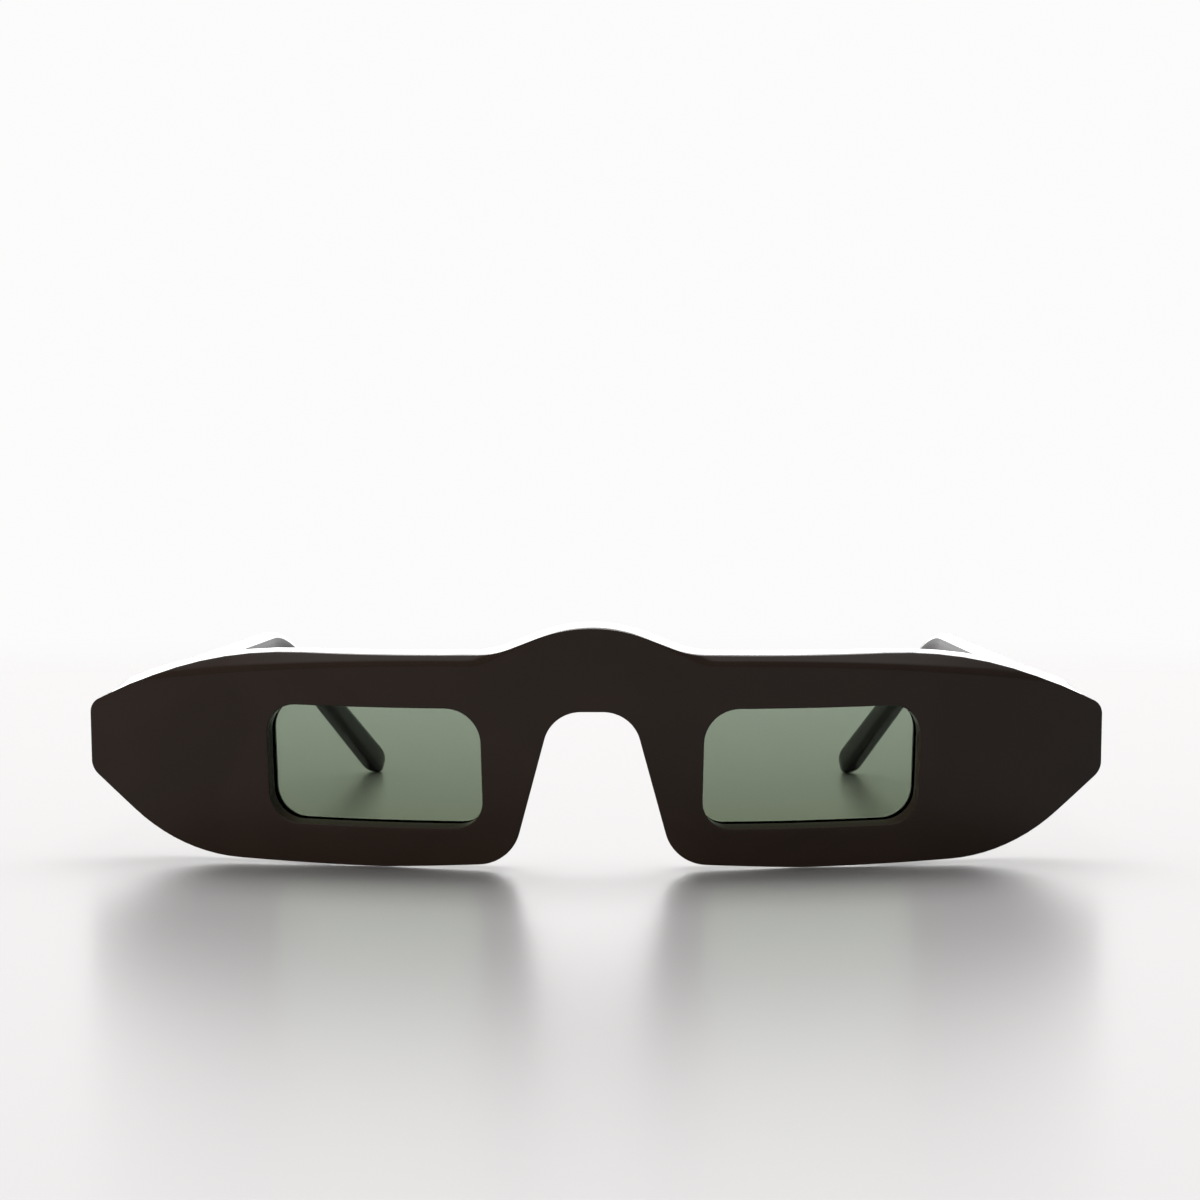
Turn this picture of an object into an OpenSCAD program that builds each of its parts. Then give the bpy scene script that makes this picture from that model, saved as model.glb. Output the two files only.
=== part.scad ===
// Slim sunglasses: a thick bent front with two small rounded lenses, carried on slender temples.
// They stand open on the lower rims and both temple tips, as on a table.
// Sizes are in millimetres. X runs across the front, Y runs back along the temples and Z is up.
// The front faces -Y, and left and right are the wearer's, so left is at +X.

/* [Front] */
// Width of the front across both end pieces
front_w = 148; // [144:0.5:154]
// Thickness of the front
front_t = 5; // [4.8:0.1:6]
// Radius that the face of the front is bent to
face_r = 150; // [140:5:200]
// Lean of the front towards the viewer when the glasses stand
lean = 9; // [7:0.5:11]
// Height of the top line beside the bridge
top_h = 31.4; // [31:0.1:33]
// Height of the crown of the bridge
bridge_h = 35.6; // [34.8:0.1:37]
// Radius of the crown of the bridge
bridge_r = 21; // [16:0.5:24]
// Slope of both flanks of the bridge
bridge_slope = 22.5; // [20:0.5:26]
// Radius where a flank of the bridge runs into the top line
dip_r = 16; // [10:1:18]
// Distance of the shoulder from the end of the front, where the top line turns down to the end piece
shoulder_in = 16.6; // [16:0.2:20]
// Height of the shoulder before it is rounded
shoulder_h = 29.9; // [29:0.1:31]
// Radius of the shoulder
shoulder_r = 62; // [40:1:64]
// Height of the upper corner of the end piece
end_top_h = 20.2; // [18:0.1:21]
// Height of the lower corner of the end piece
end_low_h = 10.3; // [9:0.1:12]
// Radius of both corners of the end piece
end_r = 2.6; // [1.5:0.1:3.5]
// Distance of the heel from the end of the front, where the end piece meets the lower rim
heel_in = 13.8; // [13:0.2:17]
// Height of the heel before it is rounded
heel_h = -0.5; // [-0.8:0.1:0.4]
// Radius of the heel
heel_r = 25; // [15:1:27]
// Distance from the middle where the lower rim starts to rise towards the nose
sole_x = 30; // [28:0.5:33]
// Radius of the lower rim at that place
sole_r = 60; // [30:5:80]
// Distance of the nose foot from the middle
foot_x = 11.6; // [10.8:0.1:12.4]
// Height of the nose foot before it is rounded
foot_h = 1.2; // [1:0.1:2]
// Radius of the nose foot
foot_r = 6.4; // [4:0.2:7]
// Half the width of the nose arch at its top
arch_x = 5.7; // [5.4:0.1:6.4]
// Height of the nose arch
arch_h = 23.5; // [22:0.1:24.5]
// Radius of the upper corners of the nose arch
arch_r = 5.4; // [4:0.1:5.6]

/* [Brow bevel] */
// Distance of the middle of the bevel from the end of the front
bevel_in = 34; // [32:0.5:37]
// Distance of the bevel's lower line below the top of the front, at its middle
bevel_h = 2.4; // [2:0.1:3.2]
// Slope of the bevel out of the face
bevel_slope = 45; // [35:1:55]
// Radius of the cone that cuts the bevel, where it meets the face
bevel_r = 98; // [90:1:110]
// Turn of the lower line of the bevel, down towards the end piece
bevel_turn = 5.5; // [5:0.1:6.5]
// Distance of the inner end of the bevel from the middle of the front
bevel_from = 14; // [13:0.5:16]
// Slope of the inner end of the bevel down from the top line
bevel_fade = 26; // [12:1:30]

/* [Lens openings] */
// Width of a lens opening
opening_w = 31.7; // [28:0.1:33]
// Height of a lens opening
opening_h = 17.5; // [16:0.1:19]
// Distance of the middle of a lens opening from the middle of the front
opening_x = 31.5; // [31:0.1:33]
// Height of the middle of a lens opening
opening_mid_h = 14.6; // [14:0.05:15.5]
// Turn of a lens opening, down towards the end piece
opening_turn = 1.4; // [0:0.1:3]
// Corner radius at the top of the nose side
opening_r_top_in = 5; // [3:0.1:6]
// Corner radius at the top of the temple side
opening_r_top_out = 4.6; // [3:0.1:6]
// Corner radius at the bottom of the nose side
opening_r_low_in = 4; // [3:0.1:6]
// Corner radius at the bottom of the temple side
opening_r_low_out = 4.4; // [3:0.1:6]

/* [Lenses] */
// Thickness of a lens
lens_t = 1.6; // [1.4:0.1:1.8]
// Depth of the lens behind the face of the front
lens_set = 2.6; // [2:0.1:2.8]
// Depth that the lens reaches into its groove
lens_grip = 0.9; // [0.6:0.1:1.2]
// Clearance of the lens in its groove
lens_fit = 0.05; // [0.02:0.01:0.1]

/* [Nose pads] */
// Height of the middle of a nose pad
pad_mid_h = 12; // [11:0.5:13]
// Length of a nose pad down the nose
pad_len = 12; // [10:0.5:14]
// Depth that a nose pad stands behind the front
pad_depth = 6; // [4:0.5:7]
// Thickness of a nose pad
pad_t = 3; // [2.4:0.1:3.4]
// Angle that a nose pad spreads outwards to the back
pad_flare = 22; // [15:1:25]
// Distance of a nose pad behind the edge of the nose arch
pad_inset = 0.4; // [0.3:0.1:0.8]
// Glue line between a nose pad and the front
pad_glue = 0.05; // [0.02:0.01:0.1]

/* [Hinges] */
// Distance of a hinge pin from the end of the front
pin_in = 12.5; // [11:0.5:15]
// Height of the middle of a hinge up the front
pin_h = 20.4; // [19:0.1:20.5]
// Distance of the pin from the back of the front
pin_off = 2.2; // [2.1:0.1:2.8]
// Distance of the pin from the inner side of the temple
pin_side = 1.9; // [1.8:0.1:2.4]
// Outer diameter of a hinge knuckle
knuckle_d = 2.8; // [2.6:0.1:3]
// Height of one hinge knuckle
knuckle_h = 1.25; // [1.1:0.05:1.4]
// Gap between two knuckles
knuckle_gap = 0.08; // [0.05:0.01:0.12]
// Thickness of the plates of a hinge
leaf_t = 0.95; // [0.8:0.05:1.1]
// Depth that a plate is let into the frame
leaf_sink = 0.5; // [0.3:0.05:0.6]
// Clearance round a plate that is let in
leaf_fit = 0.05; // [0.03:0.01:0.1]
// Length of the plate on the front
front_leaf_len = 8; // [7:0.5:9]
// Diameter of the prongs that hold the plate in the front
prong_d = 1.2; // [1:0.1:1.4]
// Depth that the prongs reach into the front
prong_len = 2.4; // [1.8:0.1:2.8]
// Length of the plate on the temple
temple_leaf_len = 12; // [11:0.5:13]
// Height of the plate on the temple
temple_leaf_h = 4.2; // [3.8:0.1:4.4]
// Diameter of the hinge screw
screw_d = 1.4; // [1.2:0.1:1.5]
// Diameter of the head of the hinge screw
screw_head_d = 2.4; // [2:0.1:2.6]
// Height of the head of the hinge screw
screw_head_h = 0.7; // [0.5:0.05:0.9]
// Clearance of the screw in the knuckles
screw_fit = 0.04; // [0.02:0.01:0.08]
// Diameter of a temple rivet
rivet_d = 1.2; // [1:0.1:1.3]
// Diameter of both heads of a temple rivet
rivet_head_d = 2; // [1.8:0.1:2.2]
// Height of both heads of a temple rivet
rivet_head_h = 0.4; // [0.3:0.05:0.5]
// Distance between the two rivets of a temple
rivet_pitch = 5; // [4:0.5:5.5]
// Clearance of a rivet in its hole
rivet_fit = 0.03; // [0.02:0.01:0.05]

/* [Temples] */
// Angle by which the temple points below the square of the front
panto = 7; // [6:0.5:8]
// Angle by which the temple runs inwards to the back
toe = 5.6; // [3:0.2:6]
// Distance from the pin to the bend of the temple
arm_len = 93; // [88:1:100]
// Radius of the bend
bend_r = 30; // [25:1:45]
// Distance that the end of the temple runs on behind the bend
drop_back = 41; // [36:1:44]
// Distance that the end of the temple runs inwards behind the bend
drop_in = 11; // [9:0.5:13]
// Height of the temple at the hinge
temple_h = 7.6; // [7:0.1:9]
// Thickness of the temple at the hinge
temple_t = 3.6; // [3.4:0.1:4]
// Height of the temple at the bend
waist_h = 3.4; // [3.2:0.1:5]
// Thickness of the temple at the bend
waist_t = 3; // [2.8:0.1:3.4]
// Height of the temple at its tip
tip_h = 4.4; // [4:0.1:6]
// Thickness of the temple at its tip
tip_t = 3.4; // [3:0.1:4]
// Length of the rounded end of the temple
tip_round = 4.5; // [3:0.1:6]
// Radius of the long edges of the temple
edge_r = 1.2; // [0.8:0.1:1.3]
// Gap between the temple and the front when the glasses are open
butt_gap = 0.1; // [0.06:0.01:0.2]
// Diameter of the core wire inside the temple
wire_d = 1.3; // [1:0.1:1.4]
// Length of temple beyond the end of the core wire
wire_end = 14; // [10:1:20]
// Clearance of the core wire in the temple
wire_fit = 0.03; // [0.02:0.01:0.05]

/* [Hidden] */

// Colours
BLACK = [0.16, 0.14, 0.14];
PAD_BLACK = [0.2, 0.18, 0.18];
LENS_GREEN = [0.36, 0.42, 0.34, 0.7];
STEEL = [0.72, 0.72, 0.74];
SCREW_STEEL = [0.8, 0.8, 0.82];
WIRE_STEEL = [0.6, 0.6, 0.62];

// Steps of the large curves, of small round pieces and of one rounded corner
curve_steps = 360;
round_steps = 32;
corner_turn = 6;
// What a cutter reaches past the piece that it cuts
past = 1;

// Height of the whole barrel of a hinge, and the distances of both rivets behind its pin
barrel_h = 5 * knuckle_h + 4 * knuckle_gap;
rivet_spots = [knuckle_d / 2 + 1.4 * rivet_head_d, knuckle_d / 2 + 1.4 * rivet_head_d + rivet_pitch];

// Angles round the axis of the face curve
end_x = front_w / 2;
opening_angle = asin(opening_x / face_r);
end_angle = asin(end_x / face_r);
bevel_angle = asin((end_x - bevel_in) / face_r);
back_r = face_r - front_t;
pin_r = back_r - pin_off;
pin_angle = asin((end_x - pin_in) / pin_r);

// Outline of the front, as corners with their radii, from the crown round to the nose arch
crown_corner = [0, bridge_h + bridge_r * (1 / cos(bridge_slope) - 1), bridge_r];
half_outline = [
    [(crown_corner[1] - top_h) / tan(bridge_slope), top_h, dip_r],
    [end_x - shoulder_in, shoulder_h, shoulder_r],
    [end_x, end_top_h, end_r],
    [end_x, end_low_h, end_r],
    [end_x - heel_in, heel_h, heel_r],
    [sole_x, 0, sole_r],
    [foot_x, foot_h, foot_r],
    [arch_x, arch_h, arch_r],
];
other_half = [for (i = [len(half_outline) - 1 : -1 : 0])
    [-half_outline[i][0], half_outline[i][1], half_outline[i][2]]];
front_outline = rounded(concat([crown_corner], half_outline, other_half), corner_turn);

// Depth of the face behind its foremost line, at a distance across the front
function sag(x) = face_r - sqrt(face_r * face_r - x * x);

// Where the standing front touches the table
stand_z = -min([for (p = front_outline) sag(p[0]) * sin(lean) + p[1] * cos(lean)]);

// The pin in the frame of the front, and its foot above the table
pin_place = [pin_r * sin(pin_angle), face_r - pin_r * cos(pin_angle), pin_h];
to_table = turn_x(lean);
temple_to_table = turn_x(lean) * turn_z(toe) * turn_x(-panto);
pin_above = (to_table * pin_place)[2] + stand_z;
up_in_temple = [temple_to_table[2][0], temple_to_table[2][1], temple_to_table[2][2]];

// Middle line of the temple in the frame of its hinge, with Y along the arm
butt_reach = pin_off + knuckle_d;
butt_point = [pin_side + temple_t / 2, -butt_reach, 0];
bend_point = [pin_side + waist_t / 2, arm_len, 0];
drop_down = drop_to_table(drop_back / 2, 6);
tip_point = bend_point + [-drop_in, drop_back, -drop_down];
arm_dir = unit(bend_point - butt_point);
drop_dir = unit(tip_point - bend_point);
bend_angle = acos(arm_dir * drop_dir);
bend_side = unit(drop_dir - (drop_dir * arm_dir) * arm_dir);
bend_cut = bend_r * tan(bend_angle / 2);
arm_run = norm(bend_point - butt_point) - bend_cut;
bend_run = bend_r * bend_angle * PI / 180;
temple_run = arm_run + bend_run + norm(tip_point - bend_point) - bend_cut;

// Fall of the temple's end towards the table, for a drop behind the bend
function fall_of(down) = -asin((temple_to_table * unit([-drop_in, drop_back, -down]))[2]);
// Height of the tip's end point when its rounded end rests on the table
function tip_rest(fall) = norm([tip_round * sin(fall), tip_h / 2 * cos(fall)]) - tip_round * sin(fall);
// Drop behind the bend that sets the tip on the table, found by repeating
function drop_to_table(down, rounds) = rounds == 0 ? down : drop_to_table(
    (up_in_temple * (bend_point + [-drop_in, drop_back, 0]) + pin_above - tip_rest(fall_of(down)))
        / up_in_temple[2], rounds - 1);

// Length of the temple from its butt to where its end starts to be rounded
tip_from = temple_run - tip_round;
// Height and thickness of the temple at a length along it
function height_at(s) = lookup(s, [[0, temple_h], [arm_run, waist_h], [tip_from, tip_h]]);
function thickness_at(s) = lookup(s, [[0, temple_t], [arm_run, waist_t], [tip_from, tip_t]]);

// Point of the middle line, and its direction, at a length along the temple
function bend_turned(s) = (s - arm_run) / bend_r * 180 / PI;
function path_at(s) =
    s < arm_run ? butt_point + arm_dir * s
    : s < arm_run + bend_run ? bend_point - arm_dir * bend_cut
        + bend_side * bend_r * (1 - cos(bend_turned(s))) + arm_dir * bend_r * sin(bend_turned(s))
    : bend_point + drop_dir * (bend_cut + s - arm_run - bend_run);
function dir_at(s) =
    s < arm_run ? arm_dir
    : s < arm_run + bend_run ? arm_dir * cos(bend_turned(s)) + bend_side * sin(bend_turned(s))
    : drop_dir;

// Section points set square to the middle line at a length along it
function placed(section, s) = let (d = dir_at(s), side = unit(cross(d, [0, 0, 1])), up = cross(side, d))
    [for (p = section) path_at(s) + side * p[0] + up * p[1]];

// Vectors, turns and rounded outlines
function unit(v) = v / norm(v);
function turn_x(a) = [[1, 0, 0], [0, cos(a), -sin(a)], [0, sin(a), cos(a)]];
function turn_z(a) = [[cos(a), -sin(a), 0], [sin(a), cos(a), 0], [0, 0, 1]];
function joined(lists) = [for (list = lists) for (item = list) item];
function rounded(corners, step) = joined([for (i = [0 : len(corners) - 1]) arc_in(
    corners[(i + len(corners) - 1) % len(corners)], corners[i], corners[(i + 1) % len(corners)], step)]);
// Arc that rounds corner b, which holds its radius, between corners a and c
function arc_in(a, b, c, step) = let (
        corner = [b[0], b[1]],
        u = unit([a[0], a[1]] - corner),
        v = unit([c[0], c[1]] - corner),
        half = acos(u * v) / 2,
        centre = corner + unit(u + v) * b[2] / sin(half),
        from = corner + u * b[2] / tan(half) - centre,
        to = corner + v * b[2] / tan(half) - centre,
        start = atan2(from[1], from[0]),
        turn = (atan2(to[1], to[0]) - start + 540) % 360 - 180,
        steps = max(2, ceil(abs(turn) / step)))
    [for (i = [0 : steps]) centre + b[2] * [cos(start + turn * i / steps), sin(start + turn * i / steps)]];
// Corners of a box that is w wide and h high, all of one radius
function box_corners(w, h, r) = [[w / 2, -h / 2, r], [w / 2, h / 2, r], [-w / 2, h / 2, r], [-w / 2, -h / 2, r]];

// Outer side of the temple at a distance behind the pin
function outside_at(y) = path_at(y + butt_reach)[0] + thickness_at(y + butt_reach) / 2;

// Rings of the temple, from its butt round the bend to its rounded tip
function temple_ring(s, k) = placed(k * rounded(box_corners(thickness_at(s), height_at(s), edge_r), 22.5), s);
temple_rings = concat(
    [for (i = [0 : 6]) temple_ring(arm_run * i / 6, 1)],
    [for (i = [1 : 10]) temple_ring(arm_run + bend_run * i / 10, 1)],
    [for (i = [1 : 4]) temple_ring(arm_run + bend_run + (tip_from - arm_run - bend_run) * i / 4, 1)],
    [for (a = [15, 30, 45, 60, 75, 85]) temple_ring(tip_from + tip_round * sin(a), cos(a))]);

// Rings of the core wire, or of its channel when it is wider
wire_from = butt_reach + rivet_spots[1] + rivet_head_d;
wire_to = temple_run - wire_end;
function wire_rings(r) = [for (i = [0 : 24]) placed(
    [for (a = [0 : 45 : 315]) r * [cos(a), sin(a)]], wire_from + (wire_to - wire_from) * i / 24)];

// Place of the standing glasses over the middle of the floor that they cover
foremost = -bridge_h * sin(lean);
rearmost = max([for (ring = temple_rings) for (p = ring) (temple_to_table * p)[1]])
    + (to_table * pin_place)[1];
stand_y = -(foremost + rearmost) / 2;

// Stands the frame of the front on the table
module standing() {
    translate([0, stand_y, stand_z]) rotate([lean, 0, 0]) children();
}

// Draws a left-hand piece on its own side, or mirrored for the right
module on_side(side) {
    if (side > 0) children();
    else mirror([1, 0, 0]) children();
}

// Turns about the axis of the face curve, and moves up the front
module round_face(angle, up) {
    translate([0, face_r, up]) rotate([0, 0, angle]) translate([0, -face_r, 0]) children();
}

// Frame of a hinge on the front: the pin is at the origin and the face of the front lies to -Y
module at_seat() {
    round_face(pin_angle, pin_h) translate([0, face_r - pin_r, 0]) children();
}

// Frame of a hinge on the temple: the pin is at the origin and the arm runs to +Y
module at_temple() {
    translate(pin_place) rotate([0, 0, toe]) rotate([-panto, 0, 0]) children();
}

// Frame of the temple's knuckles, which stand along the pin
module at_pin() {
    translate(pin_place) rotate([0, 0, toe]) children();
}

// Upright layer of the bent front between two depths behind its face
module layer(from, to) {
    translate([0, face_r, -past]) difference() {
        cylinder(r = face_r - from, h = bridge_h + 4 * past, $fn = curve_steps);
        translate([0, 0, -past])
            cylinder(r = face_r - to, h = bridge_h + 6 * past, $fn = curve_steps);
    }
}

// Outline drawn up the front and extruded through it
module through(from, depth) {
    translate([0, from + depth, 0]) rotate([90, 0, 0]) linear_extrude(depth) children();
}

// Rounded outline of a lens opening, or of its groove when it is grown
module opening_shape(grow) {
    w = opening_w + 2 * grow;
    h = opening_h + 2 * grow;
    rotate(-opening_turn) polygon(rounded([
        [w / 2, -h / 2, opening_r_low_out + grow],
        [w / 2, h / 2, opening_r_top_out + grow],
        [-w / 2, h / 2, opening_r_top_in + grow],
        [-w / 2, -h / 2, opening_r_low_in + grow],
    ], corner_turn));
}

// Part of a round shell that fills the opening, for a lens or its groove
module lens_shell(from, thickness, grow) {
    intersection() {
        round_face(opening_angle, opening_mid_h)
            through(-past, front_t + 4 * past) opening_shape(grow);
        translate([0, face_r, opening_mid_h]) difference() {
            sphere(r = face_r - from, $fn = curve_steps);
            sphere(r = face_r - from - thickness, $fn = curve_steps);
        }
    }
}

// Bevel along the brow: a cone round a middle far below the lens, faded out by a plane near the bridge
module bevel_cut() {
    intersection() {
        round_face(bevel_angle, top_h - bevel_h) rotate([0, bevel_turn, 0])
            translate([0, 0, -bevel_r]) rotate([-90, 0, 0]) difference() {
                translate([0, 0, -past])
                    cylinder(r = bevel_r + front_t + bevel_h + 2 * past, h = front_t + past, $fn = curve_steps);
                translate([0, 0, -2 * past]) cylinder(
                    r1 = bevel_r - 2 * past / tan(bevel_slope),
                    r2 = bevel_r + (front_t + past) / tan(bevel_slope),
                    h = front_t + 3 * past, $fn = curve_steps);
            }
        round_face(asin(bevel_from / face_r), top_h) rotate([0, bevel_fade, 0]) rotate([bevel_slope, 0, 0])
            translate([-past, -front_w / 4, 0]) cube([front_w / 2, front_w / 2, bridge_h]);
    }
}

// Everything outside the end of the front, square to its bent face
module end_cut() {
    round_face(end_angle, -past) translate([0, -past, 0])
        cube([front_w / 4, front_t + 4 * past, bridge_h]);
}

// Plate and prongs of the hinge on the front, grown for the seat that they are let into
module front_plate(grow) {
    top = grow > 0 ? front_t : leaf_t - leaf_sink;
    translate([pin_side / 2 - front_leaf_len - grow, -pin_off - leaf_sink - grow, -barrel_h / 2 - grow])
        cube([front_leaf_len + 2 * grow, leaf_sink + top + grow, barrel_h + 2 * grow]);
    for (up = [-1, 1])
        translate([pin_side / 2 - front_leaf_len / 2 - knuckle_d / 2, -pin_off, up * barrel_h / 4])
            rotate([90, 0, 0])
                cylinder(d = prong_d + 2 * grow, h = prong_len + grow, $fn = round_steps);
}

// Bottom of a knuckle, counted from the foot of the hinge
function knuckle_z(i) = i * (knuckle_h + knuckle_gap) - barrel_h / 2;

// One knuckle with the web that ties it to its plate
module knuckle(i, web, turn) {
    translate([0, 0, knuckle_z(i)]) {
        cylinder(d = knuckle_d, h = knuckle_h, $fn = round_steps);
        rotate(turn) translate([-knuckle_d / 3, 0, 0]) cube([knuckle_d * 2 / 3, web, knuckle_h]);
    }
}

// Bore for the screw through a whole barrel
module screw_bore() {
    translate([0, 0, -barrel_h / 2 - past])
        cylinder(d = screw_d + 2 * screw_fit, h = barrel_h + 2 * past, $fn = round_steps);
}

// Closed skin over rings of points
module skin(rings) {
    sides = len(rings[0]);
    last = len(rings) - 1;
    polyhedron(
        points = joined(rings),
        faces = concat(
            [[for (j = [sides - 1 : -1 : 0]) j]],
            [[for (j = [0 : sides - 1]) last * sides + j]],
            joined([for (i = [0 : last - 1]) joined([for (j = [0 : sides - 1]) let (
                    a = i * sides + j,
                    b = i * sides + (j + 1) % sides)
                [[a, b, b + sides], [a, b + sides, a + sides]]])])));
}

// Thick bent front with its lens openings, grooves, brow bevel and hinge seats
module front() {
    color(BLACK) standing() difference() {
        intersection() {
            layer(0, front_t);
            through(-past, face_r) polygon(front_outline);
        }
        for (side = [1, -1]) on_side(side) {
            round_face(opening_angle, opening_mid_h)
                through(-past, front_t + 4 * past) opening_shape(0);
            lens_shell(lens_set - lens_fit, lens_t + 2 * lens_fit, lens_grip + lens_fit);
            bevel_cut();
            end_cut();
            at_seat() front_plate(leaf_fit);
        }
    }
}

// Tinted lens with its rim in the groove of the front
module lens(side) {
    color(LENS_GREEN) standing() on_side(side) lens_shell(lens_set, lens_t, lens_grip);
}

// Nose pad bonded to the back of the front beside the arch
module nose_pad(side) {
    slope = (arch_x - foot_x) / (arch_h - foot_h);
    spread = pad_depth * tan(pad_flare);
    reach = (pad_len - pad_t) / 2;
    color(PAD_BLACK) standing() on_side(side) difference() {
        hull() for (end = [-1, 1], back = [0, 1]) {
            up = pad_mid_h + end * (reach - back * pad_t / 3);
            edge = foot_x + (up - foot_h) * slope + pad_inset + pad_t / 2;
            translate([edge + back * spread, front_t + sag(edge) + back * (pad_depth - pad_t / 2), up])
                sphere(d = pad_t, $fn = 24);
        }
        layer(-pad_depth, front_t + pad_glue);
    }
}

// Hinge half let into the back of the front, with three knuckles
module front_hinge(side) {
    color(STEEL) standing() on_side(side) at_seat() difference() {
        union() {
            front_plate(0);
            for (i = [0, 2, 4]) knuckle(i, pin_off, 180);
        }
        screw_bore();
    }
}

// Screw that is the pin of the hinge, with its slotted head on top
module hinge_screw(side) {
    color(SCREW_STEEL) standing() on_side(side) at_seat() difference() {
        union() {
            translate([0, 0, -barrel_h / 2])
                cylinder(d = screw_d, h = barrel_h + screw_head_h / 2, $fn = round_steps);
            translate([0, 0, barrel_h / 2])
                cylinder(d = screw_head_d, h = screw_head_h, $fn = round_steps);
        }
        translate([-screw_head_d, -screw_head_h / 4, barrel_h / 2 + screw_head_h / 2])
            cube([2 * screw_head_d, screw_head_h / 2, screw_head_h]);
    }
}

// Tab that ties a knuckle to the plate on the temple, grown for the recess that it lies in
module tab(i, grow) {
    translate([pin_side - leaf_t + leaf_sink, -knuckle_d / 3 - grow, knuckle_z(i) - grow])
        cube([leaf_t + grow, knuckle_d + 2 * grow, knuckle_h + 2 * grow]);
}

// Plate of the hinge half on the temple, grown for the recess that it lies in
module temple_plate(grow) {
    translate([pin_side - leaf_t + leaf_sink, knuckle_d / 2 + leaf_fit - grow, -temple_leaf_h / 2 - grow])
        cube([leaf_t + grow, temple_leaf_len - knuckle_d / 2 + 2 * grow, temple_leaf_h + 2 * grow]);
}

// Hinge half riveted to the inner side of the temple, with two knuckles
module temple_hinge(side) {
    color(STEEL) standing() on_side(side) difference() {
        union() {
            at_temple() temple_plate(0);
            at_pin() for (i = [1, 3]) {
                knuckle(i, pin_side - leaf_t / 2 + leaf_sink, -90);
                tab(i, 0);
            }
        }
        at_pin() screw_bore();
        at_temple() rivet_holes();
    }
}

// Holes for the shanks of both rivets
module rivet_holes() {
    for (y = rivet_spots) translate([0, y, 0]) rotate([0, 90, 0])
        cylinder(d = rivet_d + 2 * rivet_fit, h = pin_side + 2 * temple_t, $fn = round_steps);
}

// Pair of rivets that hold the hinge on the temple, their outer heads let in flush
module temple_rivets(side) {
    inner = pin_side - leaf_t + leaf_sink - rivet_head_h;
    color(SCREW_STEEL) standing() on_side(side) at_temple()
        for (y = rivet_spots) translate([inner, y, 0]) rotate([0, 90, 0]) {
            cylinder(d = rivet_head_d, h = rivet_head_h, $fn = round_steps);
            cylinder(d = rivet_d, h = outside_at(y) - inner, $fn = round_steps);
            translate([0, 0, outside_at(y) - inner - rivet_head_h])
                cylinder(d = rivet_head_d, h = rivet_head_h, $fn = round_steps);
        }
}

// Slender temple with its recess for the hinge and the channel for its core wire
module temple(side) {
    color(BLACK) standing() on_side(side) difference() {
        intersection() {
            at_temple() skin(temple_rings);
            translate([0, face_r, -face_r])
                cylinder(r = back_r - butt_gap, h = 2 * face_r, $fn = curve_steps);
        }
        at_pin() for (i = [1, 3]) tab(i, leaf_fit);
        at_temple() {
            temple_plate(leaf_fit);
            skin(wire_rings(wire_d / 2 + wire_fit));
            rivet_holes();
            for (y = rivet_spots) translate([outside_at(y) - rivet_head_h - rivet_fit, y, 0])
                rotate([0, 90, 0])
                    cylinder(d = rivet_head_d + 2 * rivet_fit, h = temple_t, $fn = round_steps);
        }
    }
}

// Core wire that stiffens the temple and runs round its bend
module core_wire(side) {
    color(WIRE_STEEL) standing() on_side(side) at_temple() skin(wire_rings(wire_d / 2));
}

front();
lens(1);  // lens_left
lens(-1);  // lens_right
nose_pad(1);  // nose_pad_left
nose_pad(-1);  // nose_pad_right
front_hinge(1);  // front_hinge_left
front_hinge(-1);  // front_hinge_right
hinge_screw(1);  // hinge_screw_left
hinge_screw(-1);  // hinge_screw_right
temple(1);  // temple_left
temple(-1);  // temple_right
temple_hinge(1);  // temple_hinge_left
temple_hinge(-1);  // temple_hinge_right
temple_rivets(1);  // temple_rivets_left
temple_rivets(-1);  // temple_rivets_right
core_wire(1);  // core_wire_left
core_wire(-1);  // core_wire_right
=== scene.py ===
"""Slim sunglasses with a thick bent front, dressed over the packed part that their solids come from."""
import math

import bmesh
import bpy
import numpy as np
from bpy.props import FloatProperty, FloatVectorProperty, IntProperty, PointerProperty
from bpy.types import Operator, Panel, PropertyGroup
from mathutils import Matrix, Vector
from mathutils.geometry import delaunay_2d_cdt


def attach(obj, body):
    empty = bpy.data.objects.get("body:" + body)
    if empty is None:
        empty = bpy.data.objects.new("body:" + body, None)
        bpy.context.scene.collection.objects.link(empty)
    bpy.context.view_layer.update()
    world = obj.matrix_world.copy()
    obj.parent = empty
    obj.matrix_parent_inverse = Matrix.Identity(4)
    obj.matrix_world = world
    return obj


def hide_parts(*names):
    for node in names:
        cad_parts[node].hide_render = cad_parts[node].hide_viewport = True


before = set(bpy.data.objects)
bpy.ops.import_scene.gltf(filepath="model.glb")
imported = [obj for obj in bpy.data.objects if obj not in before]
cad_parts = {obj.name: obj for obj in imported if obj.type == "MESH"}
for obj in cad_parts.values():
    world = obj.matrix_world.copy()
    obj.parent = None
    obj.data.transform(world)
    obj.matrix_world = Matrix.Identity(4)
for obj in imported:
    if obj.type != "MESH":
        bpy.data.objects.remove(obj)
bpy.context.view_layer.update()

bl_info = {
    "name": "Slim Sunglasses",
    "version": (1, 0, 0),
    "blender": (4, 5, 0),
    "location": "3D View > Sidebar > Sunglasses",
    "description": "Dresses the sunglasses: bent front, lenses, nose pads, temples, hinges and stage",
    "category": "Add Mesh",
}

SIDES = {"left": 1, "right": -1}

# Distance under which two points become one, and area under which a triangle is left out
MERGE = 2e-6
SLIVER = 1e-11

# Steps between the points along the lines and across the faces
OUTLINE_STEP = 0.0007
RIM_STEP = 0.0006
FACE_STEP = 0.0009
BACK_STEP = 0.0014
LENS_STEP = 0.0011
MIDDLE_STEP = 0.0008

# Room between the grid points and the edges of the faces
FACE_GAP = 0.0002
BACK_GAP = 0.0004

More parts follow.
